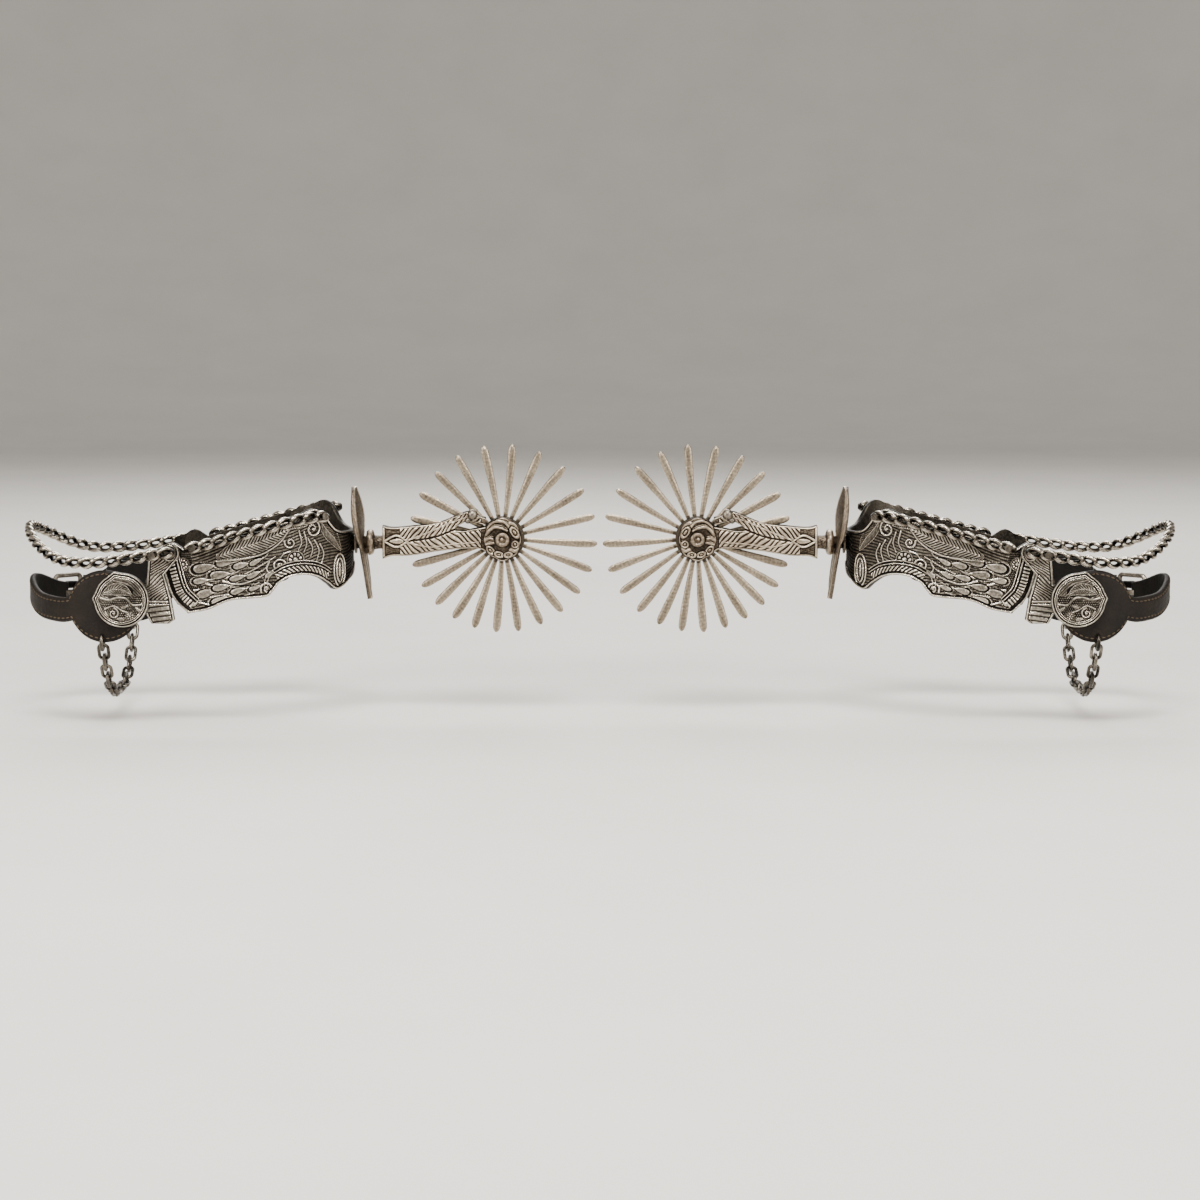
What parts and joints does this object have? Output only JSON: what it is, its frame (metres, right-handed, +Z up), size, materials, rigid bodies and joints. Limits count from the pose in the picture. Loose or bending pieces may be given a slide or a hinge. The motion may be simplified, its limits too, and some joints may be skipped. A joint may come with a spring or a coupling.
{
  "type": "pair of western spurs",
  "caption": "Pair of ornate western dress spurs: engraved heel bands, forked shanks with large spinning rowels, curb chains, conchos and instep straps.",
  "frame": {"origin": "centre of the pair's bounding box: midway between the two rowels, on the spurs' shared middle plane", "axes": "+X from the left spur to the right spur along both shanks, +Y towards the wearer's inner side, +Z up"},
  "size_m": [0.4732, 0.0854, 0.1038],
  "materials": {
    "band_silver": "satin",
    "silver": "satin",
    "chain_silver": "satin",
    "iron": "matte",
    "rowel_iron": "matte",
    "leather": "satin"
  },
  "bodies": {
    "left_spur": {"left_heel_band": "band_silver", "left_tang_rivet": "iron", "left_guard_plate": "iron", "left_plate_washer": "iron", "left_shank_collar": "iron", "left_shank": "iron", "left_shank_balls": "silver", "left_rowel_pin": "iron", "left_outer_rosette": "iron", "left_inner_rosette": "iron", "left_hanger_pins": "silver", "left_outer_band_chain": "chain_silver", "left_inner_band_chain": "chain_silver", "left_chain_studs": "chain_silver"},
    "left_rowel_wheel": {"left_rowel": "rowel_iron"},
    "left_yoke": {"left_outer_hanger": "silver", "left_inner_hanger": "silver", "left_outer_strap": "leather", "left_inner_strap": "leather", "left_buckle_frame": "silver", "left_strap_keeper": "leather", "left_outer_concho": "silver", "left_inner_concho": "silver", "left_button_posts": "silver", "left_instep_chain": "chain_silver", "left_instep_studs": "chain_silver"},
    "left_tongue": {"left_buckle_tongue": "silver"},
    "left_under_chain": {"left_heel_chain": "chain_silver", "left_chain_hooks": "chain_silver"},
    "right_spur": {"right_heel_band": "band_silver", "right_tang_rivet": "iron", "right_guard_plate": "iron", "right_plate_washer": "iron", "right_shank_collar": "iron", "right_shank": "iron", "right_shank_balls": "silver", "right_rowel_pin": "iron", "right_outer_rosette": "iron", "right_inner_rosette": "iron", "right_hanger_pins": "silver", "right_outer_band_chain": "chain_silver", "right_inner_band_chain": "chain_silver", "right_chain_studs": "chain_silver"},
    "right_rowel_wheel": {"right_rowel": "rowel_iron"},
    "right_yoke": {"right_outer_hanger": "silver", "right_inner_hanger": "silver", "right_outer_strap": "leather", "right_inner_strap": "leather", "right_buckle_frame": "silver", "right_strap_keeper": "leather", "right_outer_concho": "silver", "right_inner_concho": "silver", "right_button_posts": "silver", "right_instep_chain": "chain_silver", "right_instep_studs": "chain_silver"},
    "right_tongue": {"right_buckle_tongue": "silver"},
    "right_under_chain": {"right_heel_chain": "chain_silver", "right_chain_hooks": "chain_silver"}
  },
  "joints": [
    {"name": "left_rowel_spin", "type": "hinge", "parent": "left_spur", "child": "left_rowel_wheel", "pos_m": [-0.04, 0, 0.0131], "axis": [0, 1, 0], "continuous": true},
    {"name": "left_yoke_swing", "type": "hinge", "parent": "left_spur", "child": "left_yoke", "pos_m": [-0.172, 0, 0.0102], "axis": [0, 1, 0], "range_deg": [-25, 35]},
    {"name": "left_tongue_swing", "type": "hinge", "parent": "left_yoke", "child": "left_tongue", "pos_m": [-0.22043, 0.03254, -0.0122], "axis": [0, 0, -1], "range_deg": [0, 80]},
    {"name": "left_chain_swing", "type": "hinge", "parent": "left_yoke", "child": "left_under_chain", "pos_m": [-0.199, 0, -0.0225], "axis": [0, 1, 0], "range_deg": [-18, 28]},
    {"name": "right_rowel_spin", "type": "hinge", "parent": "right_spur", "child": "right_rowel_wheel", "pos_m": [0.04, 0, 0.0131], "axis": [0, -1, 0], "continuous": true},
    {"name": "right_yoke_swing", "type": "hinge", "parent": "right_spur", "child": "right_yoke", "pos_m": [0.172, 0, 0.0102], "axis": [0, -1, 0], "range_deg": [-25, 35]},
    {"name": "right_tongue_swing", "type": "hinge", "parent": "right_yoke", "child": "right_tongue", "pos_m": [0.22043, 0.03254, -0.0122], "axis": [0, 0, 1], "range_deg": [0, 80]},
    {"name": "right_chain_swing", "type": "hinge", "parent": "right_yoke", "child": "right_under_chain", "pos_m": [0.199, 0, -0.0225], "axis": [0, -1, 0], "range_deg": [-18, 28]},
    {"name": "pair_spacing", "type": "slide", "parent": "left_spur", "child": "right_spur", "axis": [1, 0, 0], "range_m": [0, 0.1]}
  ]
}
